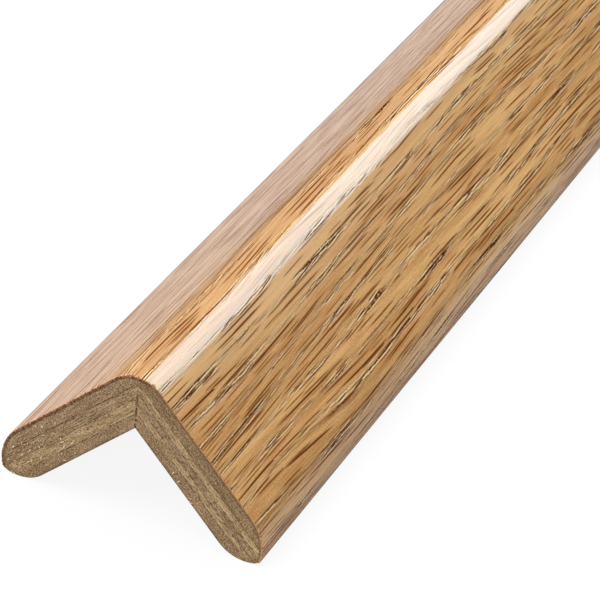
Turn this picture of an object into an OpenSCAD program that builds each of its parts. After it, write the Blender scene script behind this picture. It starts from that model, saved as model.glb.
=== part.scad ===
// Corner guard moulding: two strips of five-ply plywood, mitred and glued into an L, rounded over
// at the outside corner, worked to a pointed nose along both free edges and wrapped in oak veneer.
// It lies along Y with its outside corner up, as a ridge, and rests on the two noses.

/* [Moulding] */
// Length of the moulding
length = 1220; // [100:10:3000]
// Width of each leg, from the outside corner to the tip of its nose
leg_w = 30; // [24:0.5:60]
// Radius of the rounded outside corner, over the veneer
corner_r = 5; // [3:0.5:8]

/* [Layers] */
// Thickness of the oak veneer
veneer_t = 0.5; // [0.3:0.1:1]
// Thickness of the first and the last ply of a leg
face_ply_t = 1.6; // [1:0.1:2.4]
// Thickness of each of the three plies between them
core_ply_t = 1.1; // [0.8:0.1:1.6]

/* [Nose] */
// Radius of the long round on the outer side of each nose
nose_outer_r = 7; // [6:0.5:10]
// Radius of the shorter round on the inner side of each nose
nose_inner_r = 5; // [4:0.5:6]
// Radius at the very tip of the nose
nose_tip_r = 0.6; // [0.3:0.1:1]

/* [Hidden] */

// Where each ply begins, as a depth below the outer face of its leg, and where the last one ends
ply_starts = [
    veneer_t,
    veneer_t + face_ply_t,
    veneer_t + face_ply_t + core_ply_t,
    veneer_t + face_ply_t + 2 * core_ply_t,
    veneer_t + face_ply_t + 3 * core_ply_t,
    veneer_t + 2 * face_ply_t + 3 * core_ply_t,
];
leg_t = ply_starts[5];

// A leg is drawn along +X from the sharp outside corner at the origin, with its depth along +Y.
// Its nose is three arcs. The small one at the tip lies halfway through the leg, and the outer
// and inner ones run from it to the two faces and touch what they meet.
tip_centre = [leg_w - nose_tip_r, leg_t / 2];

function arc_centre(radius, depth) = [
    tip_centre[0] - sqrt(pow(radius - nose_tip_r, 2) - pow(depth - tip_centre[1], 2)),
    depth,
];

function point_on_tip(centre) =
    tip_centre + nose_tip_r * (tip_centre - centre) / norm(tip_centre - centre);

outer_centre = arc_centre(nose_outer_r, nose_outer_r);
inner_centre = arc_centre(nose_inner_r, leg_t - nose_inner_r);

// Height of the sharp outside corner above the floor on which the inner rounds of both noses rest
ridge_h = (inner_centre[0] + inner_centre[1]) / sqrt(2) + nose_inner_r;

// Each cut reaches this far past the wood that it takes away
overcut = 2;
$fn = 96;

// One leg in section, up to the mitre, with its outer face and outer rounds moved in by inset
module leg_outline(inset) {
    difference() {
        polygon([
            [inset, inset],
            [leg_w + overcut / 2, inset],
            [leg_w + overcut / 2, leg_t],
            [leg_t, leg_t],
        ]);
        corner_waste(inset);
        outer_nose_waste(inset);
        inner_nose_waste();
        tip_waste();
    }
}

// Wood outside the rounded outside corner
module corner_waste(inset) {
    difference() {
        translate([-overcut, -overcut]) square(corner_r + overcut);
        translate([corner_r, corner_r]) circle(corner_r - inset);
    }
}

// Wood outside the long round of the nose
module outer_nose_waste(inset) {
    difference() {
        translate([outer_centre[0], -overcut])
            square([leg_w + overcut - outer_centre[0], nose_outer_r + overcut]);
        translate(outer_centre) circle(nose_outer_r - inset);
    }
}

// Wood outside the shorter round of the nose
module inner_nose_waste() {
    difference() {
        translate([inner_centre[0], tip_centre[1]])
            square([leg_w + overcut - inner_centre[0], leg_t + overcut - tip_centre[1]]);
        translate(inner_centre) circle(nose_inner_r);
    }
}

// Wood outside the tip, between the points where the two rounds leave it
module tip_waste() {
    difference() {
        polygon([
            tip_centre,
            point_on_tip(outer_centre),
            tip_centre + [nose_tip_r + overcut, 0],
            point_on_tip(inner_centre),
        ]);
        translate(tip_centre) circle(nose_tip_r);
    }
}

// One layer of a leg in section, between two depths, cut off at the mitre
module layer_outline(from, to) {
    intersection() {
        leg_outline(veneer_t);
        polygon([[from, from], [leg_w, from], [leg_w, to], [to, to]]);
    }
}

// Stands a section of the moulding up with its corner on top and runs it out along Y.
// Drawn as it is it makes the left leg, and its mirror image makes the right one.
module run_out() {
    rotate([90, 0, 0])
        linear_extrude(length, center = true)
            translate([0, ridge_h]) rotate(225) children();
}

module mirror_leg() {
    mirror([1, -1]) children();
}

module left_ply(index) {
    run_out() layer_outline(ply_starts[index], ply_starts[index + 1]);
}

module right_ply(index) {
    run_out() mirror_leg() layer_outline(ply_starts[index], ply_starts[index + 1]);
}

// One sheet of veneer, wrapped from the tip of one nose round the corner to the tip of the other
module oak_veneer() {
    color("peru") run_out() {
        difference() {
            union() {
                leg_outline(0);
                mirror_leg() leg_outline(0);
            }
            leg_outline(veneer_t);
            mirror_leg() leg_outline(veneer_t);
        }
    }
}

module left_outer_ply() {
    color("tan") left_ply(0);
}

module left_second_ply() {
    color("rosybrown") left_ply(1);
}

module left_middle_ply() {
    color("tan") left_ply(2);
}

module left_fourth_ply() {
    color("wheat") left_ply(3);
}

module left_inner_ply() {
    color("rosybrown") left_ply(4);
}

module right_outer_ply() {
    color("tan") right_ply(0);
}

module right_second_ply() {
    color("burlywood") right_ply(1);
}

module right_middle_ply() {
    color("rosybrown") right_ply(2);
}

module right_fourth_ply() {
    color("burlywood") right_ply(3);
}

module right_inner_ply() {
    color("rosybrown") right_ply(4);
}

oak_veneer();
left_outer_ply();
left_second_ply();
left_middle_ply();
left_fourth_ply();
left_inner_ply();
right_outer_ply();
right_second_ply();
right_middle_ply();
right_fourth_ply();
right_inner_ply();
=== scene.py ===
import math

import bpy
from mathutils import Matrix, Vector


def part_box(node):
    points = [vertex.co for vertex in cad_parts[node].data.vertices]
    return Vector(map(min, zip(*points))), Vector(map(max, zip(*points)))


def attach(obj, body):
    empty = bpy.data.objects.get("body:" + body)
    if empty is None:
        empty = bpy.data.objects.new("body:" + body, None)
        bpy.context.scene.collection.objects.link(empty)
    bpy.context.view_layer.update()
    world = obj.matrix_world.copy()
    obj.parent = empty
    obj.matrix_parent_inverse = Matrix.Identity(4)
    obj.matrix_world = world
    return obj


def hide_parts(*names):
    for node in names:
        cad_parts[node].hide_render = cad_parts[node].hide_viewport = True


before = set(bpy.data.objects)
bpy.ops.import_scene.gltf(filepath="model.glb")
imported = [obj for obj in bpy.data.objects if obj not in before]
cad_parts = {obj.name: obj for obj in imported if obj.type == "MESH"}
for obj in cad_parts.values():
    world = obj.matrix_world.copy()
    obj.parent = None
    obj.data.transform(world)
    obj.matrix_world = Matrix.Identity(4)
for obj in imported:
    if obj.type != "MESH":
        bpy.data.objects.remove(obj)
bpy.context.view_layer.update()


# Plies of both legs: ten strips of raw plywood, five to a leg, glued face to face and mitred at
# the corner. On the sawn ends the outer and inner plies show end grain, and those between them
# show fibres that lie along the leg. Fine saw marks cross them all.
MM = 0.001
LEFT = -1
RIGHT = 1
SLOPE = math.sqrt(0.5)


class Wire:
    """One socket of a node tree. Operators on it add Math nodes, and add() any other node."""

    def __init__(self, tree, socket=None):
        self.tree = tree
        self.socket = socket

    def add(self, kind, settings, values, output=0):
        """Adds a node, sets its settings and then its inputs, and gives one of its outputs."""
        node = self.tree.nodes.new(kind)
        for name, value in settings.items():
            setattr(node, name, value)
        for name, value in values.items():
            if isinstance(value, Wire):
                self.tree.links.new(value.socket, node.inputs[name])
            else:
                node.inputs[name].default_value = value
        return Wire(self.tree, node.outputs[output])

    def out(self, name):
        """Another output of the node that this socket belongs to."""
        return Wire(self.tree, self.socket.node.outputs[name])

    def feed(self, socket):
        self.tree.links.new(self.socket, socket)

    def maths(self, operation, *values):
        return self.add("ShaderNodeMath", {"operation": operation}, dict(enumerate(values)))

    def __add__(self, other):
        return self.maths("ADD", self, other)

    def __radd__(self, other):
        return self.maths("ADD", other, self)

    def __sub__(self, other):
        return self.maths("SUBTRACT", self, other)

    def __rsub__(self, other):
        return self.maths("SUBTRACT", other, self)

    def __mul__(self, other):
        return self.maths("MULTIPLY", self, other)

    def __rmul__(self, other):
        return self.maths("MULTIPLY", other, self)

    def __truediv__(self, other):
        return self.maths("DIVIDE", self, other)

    def __neg__(self):
        return self.maths("MULTIPLY", self, -1.0)

    def __abs__(self):
        return self.maths("ABSOLUTE", self)

    def __gt__(self, other):
        return self.maths("GREATER_THAN", self, other)

    def __lt__(self, other):
        return self.maths("LESS_THAN", self, other)

    def least(self, other):
        return self.maths("MINIMUM", self, other)

    def most(self, other):
        return self.maths("MAXIMUM", self, other)

    def step(self, low, high):
        """0 below low, 1 above high and a smooth rise between them. It falls if high is lower."""
        return self.add(
            "ShaderNodeMapRange",
            {"interpolation_type": "SMOOTHSTEP"},
            {"Value": self, "From Min": low, "From Max": high},
        )

    def blend(self, zero, one):
        """The colour zero where this mask is 0, and the colour one where it is 1. The node's
        factor and its two colour sockets are its inputs 0, 6 and 7."""
        colours = [(*c, 1.0) if isinstance(c, tuple) else c for c in (zero, one)]
        values = {0: self, 6: colours[0], 7: colours[1]}
        return self.add("ShaderNodeMix", {"data_type": "RGBA"}, values, "Result")

    def point(self, x, y, z=0.0):
        return self.add("ShaderNodeCombineXYZ", {}, {"X": x, "Y": y, "Z": z})

    def split(self, vector):
        """The X of a vector. Its Y and Z are the other outputs."""
        return self.add("ShaderNodeSeparateXYZ", {}, {"Vector": vector}, "X")

    def noise(self, places, sizes, layer, detail=1, rough=0.5):
        """Noise between about 0.2 and 0.8, with a mean of a half. Its blots have the two sizes,
        and layer is its third coordinate."""
        x, y = (place / size for place, size in zip(places, sizes))
        vector = self.point(x, y, layer)
        return self.add(
            "ShaderNodeTexNoise",
            {},
            {"Vector": vector, "Scale": 1.0, "Detail": detail, "Roughness": rough},
            "Fac",
        )


def material(name, rough):
    """A new material, its Principled node and a Wire in its tree."""
    made = bpy.data.materials.new(name)
    made.use_nodes = True
    shader = made.node_tree.nodes["Principled BSDF"]
    shader.inputs["Roughness"].default_value = rough
    return made, shader, Wire(made.node_tree)


def srgb(red, green, blue):
    """The linear colour of a shade that is given as it shows on a screen, from 0 to 255."""
    return tuple(
        c / 255 / 12.92 if c < 11 else ((c / 255 + 0.055) / 1.055) ** 2.4
        for c in (red, green, blue)
    )


# Sizes in millimetres. The legs slope at 45 degrees from the ridge, where their outer faces would
# meet in a sharp corner, and rest on the inner rounds of their noses.
leg_w = 30.0
leg_t = 7.0
corner_r = 5.0
nose_inner_r = 5.0
tip_r = 0.6
half_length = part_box("oak_veneer")[1].y / MM
inner_reach = math.sqrt((nose_inner_r - tip_r) ** 2 - (leg_t / 2 - nose_inner_r) ** 2)
rest_centre = (leg_w - tip_r - inner_reach, leg_t - nose_inner_r)
ridge = sum(rest_centre) * SLOPE + nose_inner_r
crest = ridge - corner_r * (math.sqrt(2) - 1)

# Sawn ends: the depths between which the fibres lie along the leg, how far the layers' borders
# blur and wave, half the widths of the glue lines and of the mitre, the depths over which the
# mitre's line darkens, and where the rims darken
core_start = 2.1
core_end = 5.4
ply_blur = 0.05
ply_wave = 0.25
glue_r = 0.1
glue_core_r = 0.02
glue_wave = 0.15
mitre_r = 0.2
mitre_core_r = 0.05
mitre_wobble = 0.5
mitre_fade = (0.4, 5.5)
inner_rim = (6.55, 6.95)
nose_rim = (28.0, 29.8)


def plywood(name, side, seed, layers):
    """Raw plywood of one leg. layers gives the depth at which each starts and its two colours."""
    made, shader, w = material(name, 0.8)
    shader.inputs["Specular IOR Level"].default_value = 0.2
    place = w.split(w.add("ShaderNodeTexCoord", {}, {}, "Object"))
    x = place * (side / MM)
    y = place.out("Y") / MM
    z = place.out("Z") / MM
    along = (x + ridge - z) * SLOPE
    depth = (ridge - x - z) * SLOPE

    # Wood of the sawn ends: cut fibres and dark vessels, saw marks, specks and larger patches
    wave = w.noise((along, depth), (6, 1.5), seed) - 0.5
    deep = depth + wave * ply_wave
    core = depth.step(core_start - ply_blur, core_start + ply_blur)
    core = core * depth.step(core_end + ply_blur, core_end - ply_blur)
    lying_fibre = w.noise((along, deep), (1.8, 0.17), seed + 3, 3, 0.65)
    lying_vessel = w.noise((along, deep), (0.5, 0.15), seed + 7).step(0.57, 0.64)
    cut_fibre = w.noise((along + deep, along - deep), (0.17, 0.4), seed + 5, 2, 0.6)
    cut_vessel = w.noise((along, deep), (0.17, 0.28), seed + 9).step(0.57, 0.64)
    fibre = lying_fibre * core + cut_fibre * (1 - core)
    vessel = lying_vessel * core + cut_vessel * (1 - core)
    saw = w.noise((along - deep, along + deep), (0.18, 0.6), seed + 13, 2, 0.6)
    speck = w.noise((along, depth), (0.15, 0.15), seed + 17)
    patch = w.noise((along, deep), (4.5, 0.8), seed + 19)
    tone = (fibre * 0.4 + saw * 0.25 + speck * 0.2 + patch * 0.15).step(0.41, 0.59)

    # Each layer takes its colours from the depth where it starts, with a glue line there
    end_colour = tone.blend(*layers[0][1])
    lines = 0.0
    for start, colours in layers:
        below = deep.step(start - ply_blur, start + ply_blur)
        end_colour = below.blend(end_colour, tone.blend(*colours))
        lines = abs(depth - start + wave * glue_wave).step(glue_r, glue_core_r).most(lines)
    end_colour = (vessel * 0.75).blend(end_colour, srgb(98, 72, 48))

    # Dark lines: broken glue lines, a ragged mitre that fades outwards, and rims that darken along
    # the inner edge and at the tip of the nose
    broken = w.noise((along, depth), (0.7, 3), seed + 23, 1, 0.6).step(0.46, 0.56)
    wobble = w.noise((z, 0.0), (0.5, 1.0), 8.0, 2, 0.6) - 0.5
    mitre = abs(x + wobble * side * mitre_wobble).step(mitre_r, mitre_core_r)
    mitre = mitre * depth.step(*mitre_fade)
    mitre = mitre * w.noise((z, x), (0.45, 0.3), 4.0, 2, 0.6).step(0.42, 0.54)
    rim = depth.step(*inner_rim).most(along.step(*nose_rim)) * speck.step(0.42, 0.58)
    lines = (lines * (broken * 0.7 + 0.15)).most(mitre).most(rim * 0.6)
    end_colour = lines.blend(end_colour, srgb(88, 62, 40))

    # Wood of the long faces: fibres and pores that run along the moulding
    face_fibre = w.noise((along, y), (0.2, 9), depth / 0.5 + seed, 4, 0.65)
    face_pore = w.noise((along, y), (0.22, 4), seed + 29, 2).step(0.62, 0.7)
    face_colour = face_fibre.step(0.32, 0.68).blend(*layers[-1][1])
    face_colour = (face_pore * 0.5).blend(face_colour, srgb(96, 70, 46))

    normal = w.split(w.add("ShaderNodeTexCoord", {}, {}, "Normal"))
    end_on = abs(normal.out("Y")).step(0.4, 0.6)
    end_on.blend(face_colour, end_colour).feed(shader.inputs["Base Color"])
    relief = (tone * 0.03 - vessel * 0.02 - lines * 0.05) * end_on
    relief = relief + (face_fibre * 0.05 - face_pore * 0.05) * (1 - end_on)
    bump = w.add("ShaderNodeBump", {}, {"Height": relief, "Strength": 1.0, "Distance": MM})
    bump.feed(shader.inputs["Normal"])
    return made


# Dark and light shade of each kind of ply, and the depths of the layers that the sawn ends show
grey = srgb(120, 93, 66), srgb(200, 166, 124)
dull = srgb(132, 105, 77), srgb(212, 178, 138)
yellow = srgb(154, 122, 86), srgb(228, 194, 148)
left_layers = (0.5, dull), (2.1, dull), (3.65, yellow), (5.4, dull)
right_layers = (0.5, grey), (2.1, yellow), (3.2, dull), (4.3, yellow), (5.3, dull)
finishes = {
    "left": plywood("left_plywood", LEFT, 0.0, left_layers),
    "right": plywood("right_plywood", RIGHT, 40.0, right_layers),
}
for leg, finish in finishes.items():
    for ply in ("outer", "second", "middle", "fourth", "inner"):
        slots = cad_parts[f"{leg}_{ply}_ply"].data.materials
        slots.clear()
        slots.append(finish)


# Oak veneer: one sheet of sliced oak, wrapped round the corner and both noses and lacquered.
# It is made flat, with its grain laid out in millimetres across and along the sheet, and then
# bent round three arcs on each side. The saw has frayed its cut edges, most on the left leg.
veneer_t = 0.5
nose_r = 7.0
column_w = 0.1
rows = 4

# Worn edges: the small arris and its fall for each millimetre of width, the deepest fray, its
# share on each leg and where across the sheet one gives way to the other, a slight hollow sanded
# at the left end of the round, and the bend in radians from which an edge stays sharp
arris = 0.07
arris_fall = 0.6
fray = 0.3
frayed_to = 4.0
left_fray = 1.2
right_fray = 0.3
sanded_w = 0.8
sanded_depth = 0.025
hard_bend = 0.35

# How far the nose and the tip turn, and the widths of the sheet that this leaves
tip_reach = nose_r - tip_r
nose_turn = math.acos((nose_r - leg_t / 2) / tip_reach)
nose_start = leg_w - tip_r - tip_reach * math.sin(nose_turn)
inner_r = nose_r - veneer_t
tip_turn = math.acos((inner_r**2 - tip_reach**2 - tip_r**2) / (2 * tip_reach * tip_r))
inner_extra = math.asin(tip_r * math.sin(tip_turn) / inner_r)
flat_w = nose_start - corner_r
half_sheet = corner_r * math.pi / 4 + flat_w + nose_r * nose_turn + tip_r * tip_turn


def wrapped_sheet(w, given):
    """A flat closed sheet, bent round the section of the moulding. Of its four rows of points
    two lie at the ends and two at the arrises beside them."""
    columns = int(2 * half_sheet / column_w)
    sheet = w.add(
        "GeometryNodeMeshCube",
        {},
        {"Size": (2, 2, 2), "Vertices X": columns, "Vertices Y": rows},
    )
    flat = w.split(w.add("GeometryNodeInputPosition", {}, {}))
    across = flat * given.out("Half width")
    reach = abs(across)
    inside = flat.out("Z") < 0
    at_end = abs(flat.out("Y")) > 0.9
    way = flat.out("Y").maths("SIGN", flat.out("Y"))

    # The outer rows by each end stand back from it, by a small arris and by the fray
    torn = w.noise((across, way * 7), (0.35, 1.0), 1.5, 3, 0.6).step(0.46, 0.62)
    torn = torn * ((across < frayed_to) * (left_fray - right_fray) + right_fray)
    worn = (given.out("Arris") + torn * given.out("Fray")) * (1 - inside)
    place_y = way * (given.out("Length") / 2 - (1 - at_end) * worn)

    # Distances across the sheet at which the corner ends, the nose begins and the tip begins
    corner = given.out("Corner radius")
    nose = given.out("Nose radius")
    tip = given.out("Tip radius")
    corner_end = corner * (math.pi / 4)
    nose_from = corner_end + given.out("Flat width")
    tip_start = nose_from + nose * given.out("Nose turn")
    shoulder = (reach - corner_end) / sanded_w
    sanded = sanded_depth * w.maths("EXPONENT", -(shoulder * shoulder))
    sanded = sanded * (1 - inside) * (across < 0)
    cut = inside * given.out("Thickness") + at_end * worn * arris_fall + sanded

    # How far each point has gone round the corner, along the flat, and round nose and tip
    corner_turned = reach.least(corner_end) / corner
    flat_run = (reach - corner_end).most(0.0).least(given.out("Flat width"))
    tip_turned = (reach - tip_start).most(0.0) / tip
    overrun = tip_turned * (inner_extra / tip_turn) * inside
    nose_turned = (reach - nose_from).most(0.0).least(tip_start - nose_from) / nose
    nose_angle = nose_turned + overrun + math.pi / 4
    tip_from = given.out("Nose turn") + math.pi / 4
    tip_to = tip_from + tip_turned

    def sin(angle):
        return w.maths("SINE", angle)

    def cos(angle):
        return w.maths("COSINE", angle)

    outer_tip = tip * (1 - inside)
    aside = (
        (corner - cut) * sin(corner_turned)
        + flat_run * SLOPE
        + (nose - cut) * (sin(nose_angle) - SLOPE)
        + outer_tip * (sin(tip_to) - sin(tip_from))
    )
    down = (
        (corner - cut) * cos(corner_turned)
        - flat_run * SLOPE
        + (nose - cut) * (cos(nose_angle) - SLOPE)
        + outer_tip * (cos(tip_to) - cos(tip_from))
    )
    x = aside * across.maths("SIGN", across)
    z = given.out("Crest") - corner + down
    named = w.add(
        "GeometryNodeStoreNamedAttribute",
        {"data_type": "FLOAT_VECTOR", "domain": "POINT"},
        {"Geometry": sheet, "Name": "sheet", "Value": w.point(across, place_y, cut)},
    )

    # A map for baking, in shares of a square: the outer face fills nearly all of it, and the
    # glued face, the long edges and the ends get narrow strips beside and above it
    half_face = 0.48
    outer_h, glued_h, glued_y = 0.93, 0.03, 0.94
    edge_w, edge_x, other_edge_x = 0.003, 0.002, 0.99
    end_h, end_y, other_end_y = 0.004, 0.977, 0.012
    facing = w.split(
        w.add(
            "GeometryNodeFieldOnDomain",
            {"data_type": "FLOAT_VECTOR", "domain": "FACE"},
            {"Value": w.add("GeometryNodeInputNormal", {}, {})},
        )
    )
    on_edge = abs(facing) > 0.5
    on_end = abs(facing.out("Y")) > 0.5
    glued = facing.out("Z") < -0.5
    lift = flat.out("Z") + 1
    face_u = flat * half_face + 0.5
    edge_u = lift * edge_w + edge_x + (flat > 0) * other_edge_x
    face_v = place_y / given.out("Length") + 0.5
    face_v = face_v * (outer_h - glued * (outer_h - glued_h)) + glued * glued_y
    end_v = lift * end_h + end_y + (flat.out("Y") > 0) * other_end_y
    map_u = face_u + on_edge * (edge_u - face_u)
    map_v = face_v + on_end * (end_v - face_v)
    named = w.add(
        "GeometryNodeStoreNamedAttribute",
        {"data_type": "FLOAT2", "domain": "CORNER"},
        {"Geometry": named, "Name": "OFBake", "Value": w.point(map_u, map_v)},
    )

    placed = w.add(
        "GeometryNodeSetPosition",
        {},
        {"Geometry": named, "Position": w.point(x * MM, place_y * MM, z * MM)},
    )
    smooth = w.add("GeometryNodeSetShadeSmooth", {"domain": "FACE"}, {"Geometry": placed})
    bend = w.add("GeometryNodeInputMeshEdgeAngle", {}, {})
    return w.add(
        "GeometryNodeSetShadeSmooth",
        {"domain": "EDGE"},
        {"Geometry": smooth, "Selection": bend > hard_bend, "Shade Smooth": False},
    )


def oak():
    """Sliced oak under a gloss lacquer. Its open pores and furrows are left bare and dull."""
    lacquer_rough = 0.105
    made, shader, w = material("lacquered_oak", lacquer_rough)
    from_crest = w.split(w.add("ShaderNodeAttribute", {"attribute_name": "sheet"}, {}, "Vector"))
    along = from_crest.out("Y")
    depth = from_crest.out("Z")
    wander_w = 4
    across = from_crest + (w.noise((from_crest, along), (9, 70), 2.0) - 0.5) * wander_w

    def stripe(start, full, fading, gone):
        """1 on a stripe along the moulding, by distance from the crest, negative to the left."""
        return from_crest.step(start, full) * from_crest.step(gone, fading)

    # Stripes of the sheet that differ from the rest: the left face, greyer with a painted
    # reflection, the bend, duller with painted shade, the wood by the crest, which is quieter and
    # filled with lacquer, with a painted highlight on it and a paler painted stripe where the
    # highlight fades out, and painted shade on the noses
    left_face = from_crest.step(-4, -6)
    right_leg = from_crest.step(0, 5)
    painted_bend_shade = stripe(-6, -4, 0, 1)
    painted_shine = stripe(0.6, 1.3, 3.3, 4.1)
    quiet = stripe(0.6, 1.2, 2.7, 3.3)
    # a painted highlight: the soft edge where the highlight fades out, painted as a paler stripe
    pale = stripe(2.5, 4, 6, 9)
    painted_nose_shade = abs(from_crest).step(20.0, 24.5)

    def dashes(place, cell, mark, share, seed, lean=0.03):
        """Tapered marks along the grain, one to a cell in a share of the cells. cell is a width
        and a length, mark half of each, and the value grows from 0 inside a mark to 1 at its
        edge and on."""
        smallest, spread, far_off = 0.45, 0.7, 9
        here = w.point(place / cell[0] + seed, along / cell[1] + seed * 1.7)
        middle = w.add(
            "ShaderNodeTexVoronoi",
            {"voronoi_dimensions": "2D", "feature": "F1"},
            {"Vector": here, "Scale": 1.0, "Randomness": 1.0},
            "Position",
        )
        here = w.split(here)
        chance = w.add("ShaderNodeSeparateColor", {}, {"Color": middle.out("Color")}, "Red")
        middle = w.split(middle)
        end = (here.out("Y") - middle.out("Y")) * cell[1]
        side = (here - middle) * cell[0] + end * (chance.out("Blue") - 0.5) * lean
        size = chance.out("Green") * spread + smallest
        end = end / (size * mark[1])
        end = end * end
        return abs(side) / (size * mark[0]) + end * end + (chance > share) * far_off

    # Bands of early wood: fine dark furrows, broken into beads, with pale lips on one side. The
    # lips are painted glints that stand in for the lacquer's glints beside the furrows.
    ring_from = 3.2
    ring_w = 2.7
    furrow_w = 0.19
    strand_lean = 0.05
    painted_glint_shift = 0.17
    ring = (across - ring_from) / ring_w + w.noise((across, along), (7, 90), 11.0) * 0.6 + 0.2
    ring = ring.maths("FRACT", ring)
    early = abs(ring - 0.5).step(0.22, 0.12)
    patchy = w.noise((across, along), (1.2, 16), 17.0).step(0.42, 0.58)
    band = early * (patchy * 0.7 + 0.3) * (1 - left_face * 0.6) * (1 - quiet * 0.7)
    knot = w.noise((across, along), (0.5, 0.8), 63.0) - 0.5
    beads = w.noise((across, along), (0.3, 0.5), 31.0).step(0.34, 0.50) * 0.7 + 0.3
    beads = beads.most(from_crest.step(-3, -5) * 0.8)

    def furrows(shift):
        place = across + shift + knot * 0.15
        return w.noise((place, along), (furrow_w, 18), 61.0).step(0.53, 0.60)

    def strands(shift):
        place = across + along * strand_lean - shift
        return dashes(place, (0.42, 3.4), (0.12, 1.9), 0.85, 21.0).step(1.0, 0.5)

    strand = strands(0.0)
    glint = strands(painted_glint_shift) * (1 - strand)
    furrow = (furrows(0.0) * beads).most(strand * 0.9) * band
    # The pale lips beside the furrows and strands are painted glints.
    painted_glints = (furrows(-furrow_w) * (1 - furrows(0.0)) * beads).most(glint) * band * (1 - furrow)
    painted_glints = (painted_glints * (1.3 - left_face)).least(1.0)

    # Pores cut lengthwise, long and short, each with a warm halo. Few show in the shine.
    pore = dashes(across, (0.9, 15.0), (0.13, 7.5), 0.65, 3.0)
    small_pore = dashes(across, (0.55, 8.0), (0.11, 4.0), 0.45, 9.0)
    filled = 1 - painted_shine * 0.8
    open_pore = pore.step(1.0, 0.5).most(small_pore.step(1.0, 0.5) * 0.8) * filled
    halo = pore.step(2.6, 0.8).most(small_pore.step(2.6, 0.8) * 0.7) * filled

    # The wood between them, from broad bands down to single fibres, and its larger marks
    bands = w.noise((across, along), (1.6, 70), 41.0, 3, 0.55)
    fibre = w.noise((across, along), (0.16, 7), 43.0, 2, 0.6)
    mottle = w.noise((across + along / 15, along), (0.2, 0.35), 53.0, 2, 0.6)
    streak = dashes(across, (2.6, 26.0), (0.3, 12.0), 0.6, 15.0, lean=0.16).step(1.0, 0.4)
    stain = w.noise((across, along), (5, 45), 59.0, 2).step(0.45, 0.75)
    tone = (bands * 0.4 + fibre * 0.35 + mottle * 0.25).step(0.36, 0.64)
    colour = tone.blend(srgb(204, 139, 76), srgb(255, 200, 130))
    for mask, shade in (
        (stain * 0.3, srgb(178, 122, 64)),
        # painted highlight: a paler stripe where the highlight fades out beside the crest
        (pale * 0.5, srgb(255, 204, 140)),
        # painted reflection: a greyer, pinker tone on the left face that stands in for the floor's
        # reflection in the lacquer
        (left_face * 0.3, srgb(196, 164, 144)),
        # painted highlight: a paler, greyer colour under the highlight on the crest
        (painted_shine * 0.5, srgb(228, 206, 176)),
        # painted shade: a duller tone over the brightly lit bend beside the crest
        (painted_bend_shade * 0.45, srgb(200, 160, 124)),
        (streak * 0.4, srgb(138, 82, 32)),
        (band * 0.2, srgb(158, 108, 52)),
        # painted shade: darker noses, where the light falls off
        (painted_nose_shade * 0.1, srgb(126, 82, 40)),
        (halo * 0.35, srgb(164, 98, 32)),
        (open_pore, srgb(112, 50, 0)),
        # painted glints: the pale lips
        (painted_glints, srgb(255, 223, 170)),
        (furrow, srgb(90, 36, 0)),
    ):
        colour = mask.blend(colour, shade)

    # The cut edge: bare oak, warmer on the left leg, with a dull glued side and dark nicks
    cut_edge = depth.step(0.02, 0.12)
    nick = w.noise((from_crest, depth), (0.3, 0.6), 71.0, 2, 0.6).step(0.47, 0.53)
    edge_colour = right_leg.blend(srgb(178, 114, 66), srgb(206, 156, 108))
    edge_colour = depth.step(0.15, 0.35).blend(edge_colour, srgb(140, 108, 80))
    edge_colour = (nick * (0.85 - right_leg * 0.5)).blend(edge_colour, srgb(96, 60, 36))
    colour = cut_edge.blend(colour, edge_colour)

    colour.feed(shader.inputs["Base Color"])
    (cut_edge * 0.4 + fibre * 0.05 + lacquer_rough).feed(shader.inputs["Roughness"])
    relief = fibre * 0.003 + bands * 0.02 + mottle * 0.008 - furrow * 0.005
    bump = w.add("ShaderNodeBump", {}, {"Height": relief, "Strength": 1.0, "Distance": MM})
    bump.feed(shader.inputs["Normal"])
    bare = w.add(
        "ShaderNodeBsdfPrincipled",
        {},
        {"Base Color": colour, "Roughness": 0.8, "Specular IOR Level": 0.0, "Normal": bump},
    )
    dullness = (open_pore * (left_face * 0.4 + 0.4)).most(furrow)
    lacquered = Wire(w.tree, shader.outputs[0])
    whole = w.add("ShaderNodeMixShader", {}, {0: dullness, 1: lacquered, 2: bare})
    whole.feed(w.tree.nodes["Material Output"].inputs["Surface"])
    return made


def grown_piece(name, build, sizes, finish):
    """Runs a Geometry Nodes tree with named inputs and gives its result as a plain mesh object.
    build takes a Wire and the tree's inputs and gives the geometry."""
    tree = bpy.data.node_groups.new(name, "GeometryNodeTree")
    values = {}

    def named_input(label, kind, value):
        socket = tree.interface.new_socket(name=label, in_out="INPUT", socket_type=kind)
        values[socket.identifier] = value

    for label, value in sizes.items():
        named_input(label, "NodeSocketFloat", value)
    named_input("Finish", "NodeSocketMaterial", finish)
    tree.interface.new_socket(name="Piece", in_out="OUTPUT", socket_type="NodeSocketGeometry")
    w = Wire(tree)
    given = w.add("NodeGroupInput", {}, {})
    real = w.add("GeometryNodeRealizeInstances", {}, {"Geometry": build(w, given)})
    done = w.add(
        "GeometryNodeSetMaterial", {}, {"Geometry": real, "Material": given.out("Finish")}
    )
    done.feed(tree.nodes.new("NodeGroupOutput").inputs["Piece"])

    carrier = bpy.data.objects.new(name + "_tree", bpy.data.meshes.new(name + "_tree"))
    bpy.context.scene.collection.objects.link(carrier)
    modifier = carrier.modifiers.new("tree", "NODES")
    modifier.node_group = tree
    for key, value in values.items():
        modifier[key] = value
    bpy.context.view_layer.update()
    grown = carrier.evaluated_get(bpy.context.evaluated_depsgraph_get())
    mesh = bpy.data.meshes.new_from_object(grown)
    bpy.data.objects.remove(carrier)
    piece = bpy.data.objects.new(name, mesh)
    bpy.context.scene.collection.objects.link(piece)
    return piece


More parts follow.
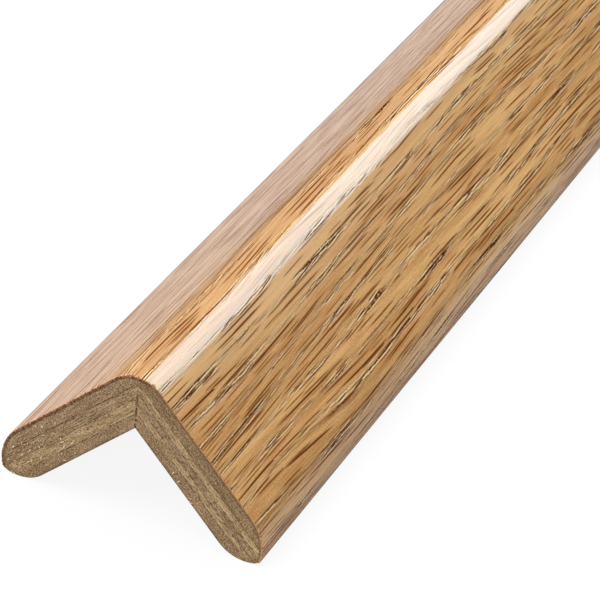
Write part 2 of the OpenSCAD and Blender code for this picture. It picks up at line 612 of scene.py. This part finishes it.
veneer = grown_piece(
    "oak_veneer_sheet",
    wrapped_sheet,
    {
        "Length": 2 * half_length,
        "Half width": half_sheet,
        "Thickness": veneer_t,
        "Crest": crest,
        "Corner radius": corner_r,
        "Flat width": flat_w,
        "Nose radius": nose_r,
        "Nose turn": nose_turn,
        "Tip radius": tip_r,
        "Arris": arris,
        "Fray": fray,
    },
    oak(),
)
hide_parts("oak_veneer")
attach(veneer, "root")


# Torn fibres: loose slivers of pale wood that the saw has left standing on the near end, most of
# them at the left nose and fewer along the inner edges. Their roots are still in the end grain.
# A field of slivers lies at the left nose, and others along the inner edges of both legs. They
# reach so far from the tip, crowd towards it, stand at these depths and keep clear of the veneer
# and of the inner faces.
field_count = 80
edge_count = 60
field_reach = 13.0
edge_reach = 22.0
nose_gap = 0.7
crowding = 1.4
field_depths = (0.7, 6.7)
edge_depths = (6.1, 6.85)
veneer_gap = 0.65
inner_gap = 0.1
sliver_length = 0.4
sliver_r = 0.085
sliver_taper = 0.3
sliver_sides = 5
sliver_sizes = (0.5, 1.3)
edge_shrink = 0.55
root_depth = 0.1
tilts = (0.7, 2.3)
swings = (-1.3, 1.3)
spins = (-1.0, 1.0)


def slivers(w, given):
    """Random points on the near end, each with a thin tapered sliver."""

    def chance(seed, low=0.0, high=1.0):
        """A random number. The node's own numbers for floats are inputs 2 and 3 and output 1."""
        return w.add("FunctionNodeRandomValue", {}, {2: low, 3: high, 8: seed}, 1)

    def past(along, depth, centre, radius):
        """1 beyond a round of the nose, on its far side from the corner."""
        x = (along - centre[0]).most(0.0)
        y = depth - centre[1]
        return w.maths("SQRT", x * x + y * y) > radius

    edge = w.add("GeometryNodeInputIndex", {}, {}) > given.out("Field count")
    spread = w.maths("POWER", chance(1), crowding)
    along = edge * (edge_reach - field_reach) + field_reach
    along = given.out("Leg width") - nose_gap - spread * along
    field_depth = chance(2, *field_depths)
    depth = field_depth + edge * (chance(3, *edge_depths) - field_depth)
    side = edge * (chance(4) > 0.5) * 2 - 1
    past_outer = past(along, depth, (nose_start, nose_r), nose_r - veneer_gap)
    past_inner = past(along, depth, rest_centre, nose_inner_r - inner_gap)
    place = w.point(
        (along - depth) * side * (SLOPE * MM),
        (given.out("Root depth") - half_length) * MM,
        (ridge - (along + depth) * SLOPE) * MM,
    )
    points = w.add("GeometryNodePoints", {}, {"Count": given.out("Count"), "Position": place})
    points = w.add(
        "GeometryNodeDeleteGeometry",
        {"domain": "POINT"},
        {"Geometry": points, "Selection": past_outer.most(past_inner)},
    )
    sliver = w.add(
        "GeometryNodeMeshCone",
        {},
        {
            "Vertices": sliver_sides,
            "Radius Top": given.out("Sliver radius") * (sliver_taper * MM),
            "Radius Bottom": given.out("Sliver radius") * MM,
            "Depth": given.out("Sliver length") * MM,
        },
    )
    lean = w.point(chance(5, *tilts), chance(6, *swings), chance(7, *spins))
    size = chance(8, *sliver_sizes) * (1 - edge * edge_shrink)
    return w.add(
        "GeometryNodeInstanceOnPoints",
        {},
        {"Points": points, "Instance": sliver, "Rotation": lean, "Scale": size},
    )


def torn_wood():
    """Pale raw wood, mottled from sliver to sliver and along each."""
    made, shader, w = material("torn_fibre", 0.7)
    place = w.split(w.add("ShaderNodeTexCoord", {}, {}, "Object"))
    blot = 0.12 * MM
    tone = w.noise((place, place.out("Z")), (blot, blot), 3.0, 2, 0.6).step(0.36, 0.64)
    colour = tone.blend(srgb(232, 208, 164), srgb(255, 248, 224))
    colour.feed(shader.inputs["Base Color"])
    return made


fibres = grown_piece(
    "torn_fibres",
    slivers,
    {
        "Count": field_count + edge_count,
        "Field count": field_count,
        "Leg width": leg_w,
        "Sliver length": sliver_length,
        "Sliver radius": sliver_r,
        "Root depth": root_depth,
    },
    torn_wood(),
)
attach(fibres, "root")


# Studio: a plain pale floor that shows white to the camera and keeps the moulding's soft shadow,
# with two pale bands that light the lacquer beside the noses. A softbox behind and above lies as
# a strip along the corner, and there is soft light overhead and in front.
# The edges of the bands are places in metres to the right of the ridge, from where a band begins
# to where it is full, and the tones are how pale it is.
floor_reach = 3.0
floor_glow = 0.9
left_band_outer = (-0.0381, -0.0372)
left_band_inner = (-0.019, -0.0265)
left_band_rise = (-0.0335, -0.037)
left_band_tones = (0.61, 0.4)
right_band_inner = (0.017, 0.020)
right_band_outer = (0.047, 0.041)
right_band_tone = 0.85
band_white = 0.75
floor_grey = 0.2
mirrored_grey = 0.03


def pale_floor():
    """White to the camera. Reflections and bounced light see it dark but for the pale bands."""
    made, shader, w = material("pale_floor", 0.9)
    shader.inputs["Specular IOR Level"].default_value = 0.0
    x = w.split(w.add("ShaderNodeTexCoord", {}, {}, "Object"))
    camera_ray = w.add("ShaderNodeLightPath", {}, {}, "Is Camera Ray")
    glossy_ray = camera_ray.out("Is Glossy Ray")
    least_tone, added_tone = left_band_tones
    left_band = x.step(*left_band_outer) * x.step(*left_band_inner)
    left_band = left_band * (x.step(*left_band_rise) * added_tone + least_tone)
    right_band = x.step(*right_band_inner) * x.step(*right_band_outer)
    bands = left_band + right_band * right_band_tone
    dark = (floor_grey - glossy_ray * (floor_grey - mirrored_grey)) * (1 - bands)
    tint = camera_ray.most(dark + bands * band_white)
    tint = w.add("ShaderNodeCombineColor", {}, {"Red": tint, "Green": tint, "Blue": tint})
    tint.feed(shader.inputs["Base Color"])
    glow = w.add("ShaderNodeEmission", {}, {"Color": (1, 1, 1, 1), "Strength": 1.0})
    lit = Wire(w.tree, shader.outputs[0])
    both = w.add("ShaderNodeMixShader", {}, {0: camera_ray * floor_glow, 1: lit, 2: glow})
    both.feed(w.tree.nodes["Material Output"].inputs["Surface"])
    return made


floor_mesh = bpy.data.meshes.new("floor")
floor_mesh.from_pydata(
    [
        (-floor_reach, -floor_reach, 0),
        (floor_reach, -floor_reach, 0),
        (floor_reach, floor_reach, 0),
        (-floor_reach, floor_reach, 0),
    ],
    [],
    [(0, 1, 2, 3)],
)
floor_mesh.materials.append(pale_floor())
floor = bpy.data.objects.new("floor", floor_mesh)
bpy.context.scene.collection.objects.link(floor)

fill_light = 0.27
mirrored_light = 0.12
world = bpy.data.worlds.new("studio")
bpy.context.scene.world = world
world.use_nodes = True
background = world.node_tree.nodes["Background"]
background.inputs["Color"].default_value = (1, 1, 1, 1)
seen_by_camera = Wire(world.node_tree).add("ShaderNodeLightPath", {}, {}, "Is Camera Ray")
mirrored = seen_by_camera.out("Is Glossy Ray")
strength = seen_by_camera * (1 - fill_light) - mirrored * (fill_light - mirrored_light) + fill_light
strength.feed(background.inputs["Strength"])

aim_inset = 0.05
lamp_aim = Vector((0.0, -half_length * MM + aim_inset, crest * MM))


def softbox(name, tilt, rise, colour, distance, width, height, radiance):
    """A rectangular lamp that faces the near end. Its radiance is what its reflection shows.
    tilt leans it to the right, and rise turns it up from behind and over to the front."""
    tilt = math.radians(tilt)
    rise = math.radians(rise)
    way = Vector((math.sin(tilt) * math.sin(rise), math.cos(rise), math.cos(tilt) * math.sin(rise)))
    lamp = bpy.data.lights.new(name, "AREA")
    lamp.shape = "RECTANGLE"
    lamp.size = width
    lamp.size_y = height
    lamp.energy = radiance * math.pi * width * height
    lamp.color = colour
    made = bpy.data.objects.new(name, lamp)
    made.visible_camera = False
    turn = way.to_track_quat("Z", "Y").to_matrix().to_4x4()
    made.matrix_world = Matrix.Translation(lamp_aim + way * distance) @ turn
    bpy.context.scene.collection.objects.link(made)


cool = (0.82, 0.98, 1.15)
plain = (1, 1, 1)
softbox("strip", 22, 39, cool, distance=1.0, width=0.70, height=0.50, radiance=4.7)
softbox("overhead", -32, 105, plain, distance=1.1, width=0.9, height=0.9, radiance=4.6)
softbox("front", -15, 160, plain, distance=1.3, width=0.8, height=0.8, radiance=2.45)


# Camera at the photograph's viewing angle, with its lens and its slight roll. Its place is given
# in millimetres from the middle of the near end, on the floor.
camera_turn = math.radians(22.375)
camera_rise = math.radians(34.058)
camera_roll = math.radians(6.149)
camera_place = Vector((0, -half_length * MM, 0)) + Vector((129.85, -265.80, 235.95)) * MM
lens = bpy.data.cameras.new("camera")
lens.sensor_width = 36.0
lens.lens = 175.85
lens.clip_start = 0.01
camera = bpy.data.objects.new("camera", lens)
bpy.context.scene.collection.objects.link(camera)
camera.matrix_world = (
    Matrix.Translation(camera_place)
    @ Matrix.Rotation(camera_turn, 4, "Z")
    @ Matrix.Rotation(math.pi / 2 - camera_rise, 4, "X")
    @ Matrix.Rotation(camera_roll, 4, "Z")
)
bpy.context.scene.camera = camera
bpy.context.scene.view_settings.view_transform = "Standard"
